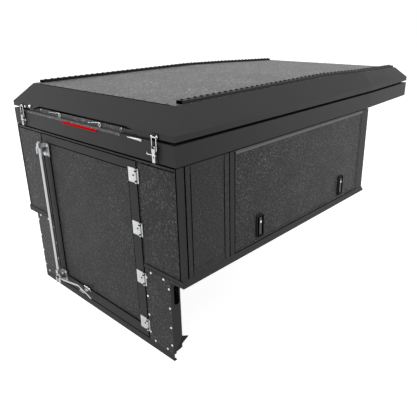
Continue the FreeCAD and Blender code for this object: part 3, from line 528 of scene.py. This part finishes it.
roof_low, roof_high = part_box("roof_skin")
rail_low, rail_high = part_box("roof_rails")
ROOF_BEND = -380 * MM
NOSE_CREASE = 45 * MM
NOSE_TIP_HALF = 597 * MM
ROOF_SHEET = 2 * MM
ROOF_SLOPE = (roof_high.z - ROOF_SHEET - roof_low.z) / (roof_high.y - ROOF_BEND)
RAIL_RISE = rail_high.z - roof_high.z
RAIL_WIDTH = 36 * MM
RAIL_FLARE = 14 * MM


def roof_height(y):
    """Top of the roof sheet, which falls forward of the bend."""
    return roof_high.z - max(0.0, y - ROOF_BEND) * ROOF_SLOPE


def rail_edge(y):
    """Outer edge of the right-hand roof rail: straight, then flared to the crease, then in to the tip."""
    straight = rail_high.x - RAIL_FLARE
    if y < ROOF_BEND:
        return straight
    if y < NOSE_CREASE:
        return straight + RAIL_FLARE * (y - ROOF_BEND) / (NOSE_CREASE - ROOF_BEND)
    return rail_high.x + (NOSE_TIP_HALF - rail_high.x) * (y - NOSE_CREASE) / (rail_high.y - NOSE_CREASE)


def rail_rivets():
    """A close row of domed rivets near the inner edge of each roof rail."""
    side_inset = RAIL_WIDTH - 10 * MM
    end_inset = 22 * MM
    rows = spread(rail_low.y + end_inset, rail_high.y - end_inset, pitch=41 * MM)
    places = [(sign * (rail_edge(y) - side_inset), y, roof_height(y) + RAIL_RISE)
              for y in rows for sign in (-1, 1)]
    fasteners("roof_rail_rivets", dome_rivet(radius=8 * MM, height=6 * MM), UP, places, LID, NYLON)


def rail_caps():
    """A black plate on the rear end of each roof rail, a little taller than the rail."""
    thickness = 4 * MM
    top = rail_high.z + 1 * MM
    outer = rail_edge(rail_low.y)
    cap = [((outer - RAIL_WIDTH, rail_low.y - thickness, roof_high.z), (outer, rail_low.y, top))]
    piece("roof_rail_caps", bars(both_sides(cap), radius=1 * MM, segments=2), LID, BLACK_POLYMER)


def roof_edge():
    """Flat rivets along the roof sheet's front and rear edges, and a bead of sealant at the rear."""
    row_end = 560 * MM
    inset = 12 * MM
    places = [(x, y, roof_height(y)) for y in (roof_low.y + inset, roof_high.y - inset)
              for x in spread(-row_end, row_end, pitch=80 * MM)]
    flat = dome_rivet(radius=5 * MM, height=1.5 * MM)
    fasteners("roof_edge_rivets", flat, UP, places, LID, NYLON)
    bead_end = rail_edge(rail_low.y) - RAIL_WIDTH
    bead = ((-bead_end, roof_low.y - 3 * MM, roof_high.z - ROOF_SHEET),
            (bead_end, roof_low.y + 1 * MM, roof_high.z + 0.5 * MM))
    piece("roof_edge_bead", bars([bead], radius=0.6 * MM, segments=2), LID, SEALANT_AND_SHADE)


rail_rivets()
rail_caps()
roof_edge()


# Hinges of the rear door

HINGES = 4
HINGE_HEIGHT = 72 * MM
HINGE_FACE = REAR - 3 * MM
HINGE_PIN = (448.5 * MM, REAR - 5 * MM)


def hinge_fasteners():
    """On each hinge a bolt, two door screws, two frame screws and two black washers round the pin, whose
    black also stands in for the shade in the knuckle joints.
    """
    leaf_low, leaf_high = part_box("hinge_door_leaves")
    frame_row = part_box("hinge_frame_leaves")[1].x - 6 * MM
    screw_row = leaf_low.x + 13 * MM
    bolt_row = leaf_low.x + 38 * MM
    screw_rise = 24 * MM
    knuckle_joint = 24.75 * MM
    washer_height = 7 * MM
    first = leaf_low.z + HINGE_HEIGHT / 2
    last = leaf_high.z - HINGE_HEIGHT / 2
    levels = [first + (last - first) * i / (HINGES - 1) for i in range(HINGES)]
    screw_levels = [level + rise for level in levels for rise in (-screw_rise, screw_rise)]
    washer_levels = [level + rise - washer_height / 2 for level in levels
                     for rise in (-knuckle_joint, knuckle_joint)]
    fasteners("hinge_door_bolts", socket_button(radius=4.5 * MM, height=2.5 * MM), BACK,
              [(bolt_row, HINGE_FACE, level) for level in levels], REAR_DOOR, NYLON)
    # Black nylon washers in the knuckle joints, their black also painted shade of those joints.
    washer = turned([(0, 0), (6.4 * MM, 0), (6.6 * MM, 0.5 * MM), (6.6 * MM, 6.5 * MM),
                     (6.4 * MM, washer_height), (0, washer_height)], sides=20)
    fasteners("hinge_washers_and_joint_shade", washer, UP,
              [(*HINGE_PIN, level) for level in washer_levels], CANOPY, NYLON)
    flush = dome_rivet(radius=4 * MM, height=1 * MM)
    fasteners("hinge_door_screws", flush, BACK,
              [(screw_row, HINGE_FACE, level) for level in screw_levels], REAR_DOOR, ZINC)
    fasteners("hinge_frame_screws", flush, BACK,
              [(frame_row, HINGE_FACE, level) for level in screw_levels], CANOPY, ZINC)


hinge_fasteners()


# Skirts beside and below the rear door

def skirt_bolts():
    """Two columns of domed bolts on each skirt, with two more at its top edge and two at its bottom."""
    column_levels = (-41 * MM, -150 * MM, -262 * MM, -368 * MM)
    edge_levels = (-2 * MM, -408 * MM)
    edge_columns = (503 * MM, 598 * MM)
    outer_column = 634 * MM
    inset = 15 * MM
    right_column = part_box("rear_panel_right")[0].x + inset
    left_column = -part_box("rear_panel_left")[1].x + inset
    places = []
    for sign, inner_column in ((1, right_column), (-1, left_column)):
        places += [(sign * x, REAR, z) for x in (inner_column, outer_column) for z in column_levels]
        places += [(sign * x, REAR, z) for x in edge_columns for z in edge_levels]
    fasteners("skirt_bolts", dome_rivet(radius=6.5 * MM, height=4 * MM), BACK, places, CANOPY, ZINC)


def skirt_grommets():
    """Black edging round the slot in each skirt's outer flange."""
    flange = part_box("rear_skirts")[1].x
    rear = REAR + 23 * MM
    front = REAR + 47 * MM
    bottom = -135 * MM
    top = -34 * MM
    slot = ((rear, bottom), (front, bottom), (front, top), (rear, top))
    rings = [wire_ring([(x, y, z) for y, z in slot], bend=9 * MM, gauge=5 * MM) for x in (flange, -flange)]
    piece("skirt_grommets", joined(rings), CANOPY, SEALANT_AND_SHADE)


skirt_bolts()
skirt_grommets()


# Lock rod, its guides and keepers

ROD_X = -418 * MM
ROD_Y = REAR - 27 * MM
ROD_RADIUS = 10 * MM
GUIDE_X = -374 * MM
KEEPER_X = -459 * MM
BEAD_PLACE = (ROD_X + 3 * MM, ROD_Y - ROD_RADIUS - 3 * MM, -370 * MM)


def rod_fittings():
    """Bolts of the guides, screws of the keepers, collars on the rod and a bead on the handle's hub."""
    guide_levels = (446 * MM, 497 * MM, -384 * MM, -333 * MM)
    keeper_levels = (476 * MM, 452 * MM, -386 * MM, -410 * MM)
    collar_levels = (472 * MM, -358 * MM)
    guide_bolt = socket_button(radius=6 * MM, height=4 * MM)
    guide_places = [(GUIDE_X, REAR - 4 * MM, level) for level in guide_levels]
    fasteners("guide_bolts", guide_bolt, BACK, guide_places, REAR_DOOR, ZINC)
    keeper_screw = socket_button(radius=5 * MM, height=3 * MM)
    keeper_places = [(KEEPER_X, REAR - 3 * MM, level) for level in keeper_levels]
    fasteners("keeper_screws", keeper_screw, BACK, keeper_places, CANOPY, ZINC)
    radius = ROD_RADIUS + 3.5 * MM
    height = 8 * MM
    collar = turned([(0, 0), (radius, 0), (radius, height), (0, height)], sides=32)
    collar_places = [(ROD_X, ROD_Y, level) for level in collar_levels]
    fasteners("rod_collars", collar, UP, collar_places, LOCK_ROD, STAINLESS_LEVEL)
    bead = dome_rivet(radius=11.5 * MM, height=4 * MM)
    fasteners("rod_bead", bead, BACK, [BEAD_PLACE], LOCK_ROD, BEAD)


def catch_plate():
    """A folded striker plate above the handle's catch, with its hem turned out."""
    face = REAR - 1.5 * MM
    hem = REAR - 6 * MM
    section = [(face, -362 * MM), (face, -348 * MM), (hem, -343 * MM)]
    plate = folded_strip(section, start=-161 * MM, end=-95 * MM, thickness=2 * MM)
    piece("catch_plate", plate, REAR_DOOR, STAINLESS_LEVEL)


rod_fittings()
catch_plate()


# Trim and fittings on the tray's ledge, seen through the lid's notch

UPSTAND = REAR + 17 * MM
LEDGE_END = 561 * MM
TRIM_LEFT = -440 * MM
TRIM_RIGHT = 348 * MM


def ledge_trim():
    """Bright stucco trim folded over the ledge, lower at its left end, and darker upstands at its ends, both
    painted lighter to make up for the shade under the lid.
    """
    lip = REAR - 1.4 * MM
    lip_low = TRAY_TOP - 12 * MM
    ledge = TRAY_TOP + 1.2 * MM
    for name, start, end, rise in (("ledge_trim", TRIM_LEFT, TRIM_RIGHT, 24 * MM),
                                   ("ledge_trim_left", -LEDGE_END, TRIM_LEFT, 11 * MM)):
        section = [(lip, lip_low), (lip, ledge), (UPSTAND, ledge), (UPSTAND, TRAY_TOP + rise)]
        piece(name, folded_strip(section, start, end, thickness=1 * MM), CANOPY, TRIM_STUCCO_PAINTED_LIGHT)
    step = 462 * MM
    stretches = ((TRIM_RIGHT, step, 22 * MM), (TRIM_LEFT - 30 * MM, TRIM_LEFT, 22 * MM),
                 (step, LEDGE_END, 12 * MM))
    plates = [((start, UPSTAND - 1 * MM, TRAY_TOP), (end, UPSTAND, TRAY_TOP + rise))
              for start, end, rise in stretches]
    piece("ledge_trim_ends", bars(plates, radius=0.4 * MM, segments=2), CANOPY, LEDGE_SATIN_PAINTED_LIGHT)


def ledge_studs():
    """A stepped stud near each end of the bright trim."""
    stud = turned([(0, 0), (4 * MM, 0), (4 * MM, 3 * MM), (3 * MM, 5 * MM), (0, 6 * MM)], sides=20)
    places = [(x, UPSTAND, TRAY_TOP + 20 * MM) for x in (-413 * MM, 344 * MM)]
    fasteners("ledge_studs", stud, BACK, places, CANOPY, ZINC)


def lashing_staples():
    """Two bent wire eyes on the ledge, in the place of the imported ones."""
    low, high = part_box("lashing_eyes")
    width = 19.6 * MM
    gauge = 4 * MM
    rings = [standing_ring(Vector((left, low.y, low.z)), Vector((left + width, high.y, high.z)),
                           inset=gauge / 2, bend=6.5 * MM, gauge=gauge)
             for left in (low.x, high.x - width)]
    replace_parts(piece("lashing_staples", joined(rings), CANOPY, ZINC), "lashing_eyes")


def lashing_pins():
    """Straight pins held in the tops of the wire eyes, each with a ball at its free end."""
    bm = bmesh.new()
    level = REAR + 12 * MM
    gauge = 2.6 * MM
    left_pin = ((-322 * MM, level, TRAY_TOP + 15 * MM), (-208 * MM, level, TRAY_TOP + 24 * MM), 2.5 * MM)
    right_pin = ((76 * MM, level, TRAY_TOP + 12 * MM), (170 * MM, level, TRAY_TOP + 24 * MM), 5 * MM)
    for free, held, radius in (left_pin, right_pin):
        along = Vector(held) - Vector(free)
        shaft = bmesh.ops.create_cone(bm, cap_ends=True, segments=12, radius1=gauge / 2, radius2=gauge / 2,
                                      depth=along.length)["verts"]
        middle = (Vector(free) + Vector(held)) / 2
        bmesh.ops.transform(bm, matrix=facing(along.normalized(), middle), verts=shaft)
        ball = bmesh.ops.create_uvsphere(bm, u_segments=16, v_segments=10, radius=radius)["verts"]
        bmesh.ops.translate(bm, verts=ball, vec=free)
    piece("lashing_pins", mesh_of(bm, "pins"), CANOPY, ZINC)


def pull_plate():
    """A tapered bright plate on the tray, left of the right-hand latch."""
    low = Vector((402 * MM, REAR - 3 * MM, TRAY_TOP - 14 * MM))
    high = Vector((508 * MM, REAR, TRAY_TOP - 2 * MM))
    middle = (low + high) / 2
    bm = block(low, high)
    for vert in bm.verts:
        if vert.co.x < middle.x:
            vert.co.z += 5 * MM if vert.co.z < middle.z else -4 * MM
    round_edges(bm, radius=0.8 * MM, segments=2)
    piece("pull_plate", mesh_of(bm, "plate"), CANOPY, STAINLESS_LEVEL)


ledge_trim()
ledge_studs()
lashing_staples()
lashing_pins()
pull_plate()


# Toggle latches and the lid's rear lip

LATCH_X = (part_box("latch_bail_right")[0].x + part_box("latch_bail_right")[1].x) / 2


def latch_wires():
    """Bent wire loops that pull the lid's keepers down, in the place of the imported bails."""
    for side in ("right", "left"):
        body = f"latch_bail_{side}"
        low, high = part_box(body)
        ring = standing_ring(low, high, inset=1.6 * MM, bend=5 * MM, gauge=4.4 * MM)
        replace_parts(piece(f"latch_wire_{side}", ring, body, ZINC), body)


def lid_fasteners():
    """A knob near the left end of the lid's lip, and a bolt and a socket screw at each keeper."""
    knob = turned([(0, 0), (6 * MM, 0), (6 * MM, 3 * MM), (9 * MM, 5 * MM), (9 * MM, 8 * MM),
                   (5 * MM, 11.5 * MM), (0, 12.5 * MM)], sides=24)
    fasteners("lid_knob", knob, BACK, [(-508 * MM, REAR, LIP_LOW + 17 * MM)], LID, ZINC)
    bolt_x = LATCH_X - 25 * MM
    bolt_level = LIP_LOW + 7.5 * MM
    fasteners("lid_keeper_bolts", dome_rivet(radius=6.5 * MM, height=5 * MM), BACK,
              [(side * bolt_x, REAR, bolt_level) for side in (1, -1)], LID, ZINC)
    screw_x = LATCH_X + 12 * MM
    screw_level = bolt_level + 3 * MM
    fasteners("lid_keeper_sockets", socket_button(radius=6.5 * MM, height=3 * MM), BACK,
              [(side * screw_x, REAR - 3 * MM, screw_level) for side in (1, -1)], LID, ZINC)


latch_wires()
lid_fasteners()


# Black strips of painted shade in the gaps round the doors and panels, and black lines of painted shade
# along the seams

STRIP_ROUNDING = 0.4 * MM
STRIP_LOW = 13 * MM
STRIP_HIGH = 36 * MM
SIDE_PANEL_SEAM = (-1680 * MM, -1672 * MM)
FIELD_EDGES = (-1641 * MM, -1421 * MM)


def rear_gap_and_recess_shade():
    """Black strips filling the gap round the rear door, a bead round the door's own panel, thicker at its
    top, and a flat line beside it: all painted shade of the gap and the panel's recess.
    """
    door_low, door_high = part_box("rear_door_frame")
    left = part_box("rear_panel_left")[1].x
    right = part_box("rear_panel_right")[0].x
    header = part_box("rear_header")[0].z
    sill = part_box("rear_sill")[1].z
    room = 1 * MM
    lip = 5 * MM
    front = REAR - 0.6 * MM
    back = REAR + 18 * MM
    # Painted shade: black filling the gap round the door.
    piece("rear_door_gap_shade", bars([
        ((left - lip, front, door_low.z), (door_low.x - room, back, door_high.z)),
        ((door_high.x + room, front, door_low.z), (right + lip, back, door_high.z)),
        ((left, front, door_high.z + room), (right, back, header + 1 * MM)),
        ((left, front, sill - 1 * MM), (right, back, door_low.z - room)),
    ], STRIP_ROUNDING), CANOPY, SEALANT_AND_SHADE)
    low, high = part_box("rear_door_panel")
    near = low.y - 3 * MM
    bead = 3 * MM
    top_shade_width = 2.3 * bead
    shade_line_near = door_low.y - 0.5 * MM
    shade_line_far = door_low.y + 1 * MM
    # Painted shade in the corners of the panel's recess, deepest under its top, and a painted shadow line
    # beside its right edge.
    piece("rear_door_recess_shade", bars([
        ((low.x, near, low.z), (low.x + bead, low.y, high.z)),
        ((high.x - bead, near, low.z), (high.x, low.y, high.z)),
        ((low.x, near, high.z - top_shade_width), (high.x, low.y, high.z)),
        ((low.x, near, low.z), (high.x, low.y, low.z + bead)),
        ((high.x, shade_line_near, low.z), (high.x + bead, shade_line_far, high.z)),
    ], STRIP_ROUNDING), REAR_DOOR, SEALANT_AND_SHADE)


def side_gap_fills_and_shade():
    """Black strips of painted shade in the gaps round the side doors and ahead of the side panels, and satin
    fillers behind those.
    """
    skin_low, skin_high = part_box("side_door_skin_right")
    post_low, post_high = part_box("mid_posts")
    panel_low, panel_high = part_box("side_panels")
    rear_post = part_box("rear_posts")[1].y
    front_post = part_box("front_posts")[0].y
    header_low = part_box("side_headers")[0].z
    room = 1 * MM
    inner = SIDE - 18 * MM
    outer = SIDE - 0.5 * MM
    filler = [((inner, rear_post, RAIL_TOP), (SIDE, panel_low.y, WALL_TOP))]
    piece("post_fillers", bars(both_sides(filler), STRIP_ROUNDING), CANOPY, SATIN)
    # Painted shade: black strips that fill the gaps.
    strips = [
        ((inner, panel_high.y, RAIL_TOP), (outer, post_low.y, WALL_TOP)),
        ((inner, post_high.y, skin_low.z), (outer, skin_low.y - room, skin_high.z)),
        ((inner, skin_high.y + room, skin_low.z), (outer, front_post, skin_high.z)),
        ((inner, post_high.y, RAIL_TOP), (outer, front_post, skin_low.z - room)),
        ((inner, post_high.y, skin_high.z + room), (outer, front_post, header_low)),
    ]
    piece("side_gap_fills_and_shade", bars(both_sides(strips), STRIP_ROUNDING), CANOPY, SEALANT_AND_SHADE)


def corner_lines():
    """Black lines of painted shade down the rear posts' outer edges, down the rear of the side panels and
    under the tray.
    """
    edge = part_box("rear_posts")[1].x
    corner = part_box("rear_panel_right")[1].x
    header_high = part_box("rear_header")[1].z
    face = REAR - 0.7 * MM
    back = REAR + 1 * MM
    seam_rear, seam_front = SIDE_PANEL_SEAM
    lines = both_sides([
        ((edge - 6 * MM, face, RAIL_TOP), (edge + 0.2 * MM, back, WALL_TOP)),
        ((SIDE - 1 * MM, seam_rear, RAIL_TOP), (SIDE + 0.6 * MM, seam_front, WALL_TOP)),
    ])
    lines.append(((-corner, face, header_high - 3 * MM), (corner, back, header_high + 3.5 * MM)))
    return lines


def rear_panel_lines(start):
    """Black lines of painted shade across the right-hand rear panel from start: below the header and on the
    rail's end.
    """
    header_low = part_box("rear_header")[0].z
    panel_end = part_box("rear_panel_right")[1].x - 7 * MM
    rail_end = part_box("bed_rails")[1].x
    back = REAR + 1 * MM
    lines = [((start, REAR - 0.7 * MM, header_low - 6 * MM), (panel_end, back, header_low - 2 * MM))]
    for level in (STRIP_LOW, STRIP_HIGH):
        lines.append(((start, REAR - 1.3 * MM, level), (rail_end, back, level + 2.5 * MM)))
    return lines


def side_panel_lines():
    """Upright black lines of painted shade at both edges of the fields of the side panels."""
    half_width = 1.5 * MM
    bottom = RAIL_TOP + 3 * MM
    top = WALL_TOP - 2 * MM
    return both_sides([((SIDE - 1 * MM, y - half_width, bottom), (SIDE + 0.6 * MM, y + half_width, top))
                       for y in FIELD_EDGES])


def seams():
    """Black lines of painted shade along joints, grooves and gaps, and the flat strips between those on the
    rail's ends.
    """
    inset = 3 * MM
    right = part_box("rear_panel_right")[0].x + inset
    left = -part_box("rear_panel_left")[1].x + inset
    rail_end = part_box("bed_rails")[1].x
    lines = (corner_lines() + rear_panel_lines(right) + mirrored(rear_panel_lines(left))
             + side_panel_lines())
    piece("seam_shade_lines", bars(lines, radius=0.3 * MM), CANOPY, SEALANT_AND_SHADE)
    right_strip, left_strip = [
        ((start, REAR - 1.2 * MM, STRIP_LOW + 2 * MM), (rail_end, REAR + 1 * MM, STRIP_HIGH))
        for start in (right, left)]
    strips = [right_strip] + mirrored([left_strip])
    piece("rail_end_strips", bars(strips, radius=0.5 * MM), CANOPY, SATIN)


rear_gap_and_recess_shade()
side_gap_fills_and_shade()
seams()


# Paddles of the side doors

def paddle_details():
    """A small key barrel in the upper half of each right-hand paddle, and black moulded edging down both
    sides of every paddle, which leaves its bare metal narrow."""
    barrel = turned([(0, 0), (7 * MM, 0), (7 * MM, 1.6 * MM), (6 * MM, 2.4 * MM), (0, 2.4 * MM)], sides=28)
    edging = 8 * MM
    rounding = 0.6 * MM
    left = []
    for body in PADDLES:
        low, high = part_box(f"{body}_right")
        barrel_place = (high.x, (low.y + high.y) / 2, high.z - 26 * MM)
        fasteners(f"{body}_lock", barrel, RIGHT, [barrel_place], body, ZINC)
        strips = [((high.x - 1 * MM, y, low.z), (high.x + 1.2 * MM, y + edging, high.z))
                  for y in (low.y, high.y - edging)]
        piece(f"{body}_edges", bars(strips, rounding), body, BLACK_POLYMER)
        left += mirrored(strips)
    piece("paddle_edges_left", bars(left, rounding), CANOPY, BLACK_POLYMER)


paddle_details()


# Camera, floor and light

CAMERA_PLACE = (2.1459, -2.9890, 1.1850)
CAMERA_TURN = (1.2074, 0.0191, 0.7576)
CAMERA_LENS = 40.87
CAMERA_SHIFT = (-0.0091, -0.0339)
MIDDLE = Vector((0.0, -0.5, 0.3))


def camera():
    """The photograph's own view, as fitted to the object's edges and corners."""
    data = bpy.data.cameras.new("camera")
    data.sensor_width = 36.0
    data.lens = CAMERA_LENS
    data.shift_x, data.shift_y = CAMERA_SHIFT
    data.clip_start = 0.05
    data.clip_end = 200.0
    made = bpy.data.objects.new("camera", data)
    made.location = CAMERA_PLACE
    made.rotation_euler = CAMERA_TURN
    bpy.context.scene.collection.objects.link(made)
    bpy.context.scene.camera = made


def seen_directly(tree):
    """1 for camera, glossy and transmission rays, 0 for the rays that carry the light."""
    path = node(tree, "ShaderNodeLightPath").outputs
    either = worked_out(tree, "MAXIMUM", path["Is Camera Ray"], path["Is Glossy Ray"])
    return worked_out(tree, "MAXIMUM", either, path["Is Transmission Ray"])


def floor():
    """A wide pale floor under the canopy that glows where it is seen, so that it reads as white paper."""
    bm = bmesh.new()
    bmesh.ops.create_grid(bm, x_segments=1, y_segments=1, size=30.0)
    bmesh.ops.translate(bm, verts=bm.verts, vec=(0, 0, FLOOR_LEVEL - 1 * MM))
    mesh = mesh_of(bm, "floor")
    material, tree, shader = surface("studio_floor_painted", Roughness=0.9)
    shader.inputs["Base Color"].default_value = linear("c8c8c8")
    glow = node(tree, "ShaderNodeEmission", {"Color": linear("ffffff"), "Strength": 0.85})
    nothing = node(tree, "ShaderNodeEmission", {"Strength": 0.0})
    shown = node(tree, "ShaderNodeMixShader",
                 {0: seen_directly(tree), 1: nothing.outputs[0], 2: glow.outputs[0]})
    both = node(tree, "ShaderNodeAddShader", {0: shader.outputs[0], 1: shown.outputs[0]})
    tree.links.new(both.outputs[0], tree.nodes["Material Output"].inputs["Surface"])
    mesh.materials.append(material)
    made = bpy.data.objects.new("floor", mesh)
    bpy.context.scene.collection.objects.link(made)


def sky():
    """An even studio sky, white where it is seen and dimmer as a light."""
    world = bpy.data.worlds.new("studio")
    bpy.context.scene.world = world
    world.use_nodes = True
    tree = world.node_tree
    ambient = node(tree, "ShaderNodeBackground", {"Color": linear("ffffff"), "Strength": 0.55})
    white = node(tree, "ShaderNodeBackground", {"Color": linear("ffffff"), "Strength": 1.0})
    mix = node(tree, "ShaderNodeMixShader",
               {0: seen_directly(tree), 1: ambient.outputs[0], 2: white.outputs[0]})
    tree.links.new(mix.outputs[0], tree.nodes["World Output"].inputs["Surface"])


def softbox(name, place, size, power):
    """A square area light that shines at the middle of the canopy."""
    data = bpy.data.lights.new(name, "AREA")
    data.shape = "SQUARE"
    data.size = size
    data.energy = power
    made = bpy.data.objects.new(name, data)
    made.matrix_world = facing((Vector(place) - MIDDLE).normalized(), place)
    bpy.context.scene.collection.objects.link(made)


camera()
floor()
sky()
softbox("softbox_left_rear", place=(-3.5, -4.5, 1.6), size=2.0, power=92.0)
softbox("softbox_right_front", place=(4.5, 3.5, 1.6), size=2.0, power=120.0)
softbox("softbox_above", place=(0.5, -1.0, 4.5), size=3.0, power=160.0)
bpy.context.scene.view_settings.view_transform = "Standard"
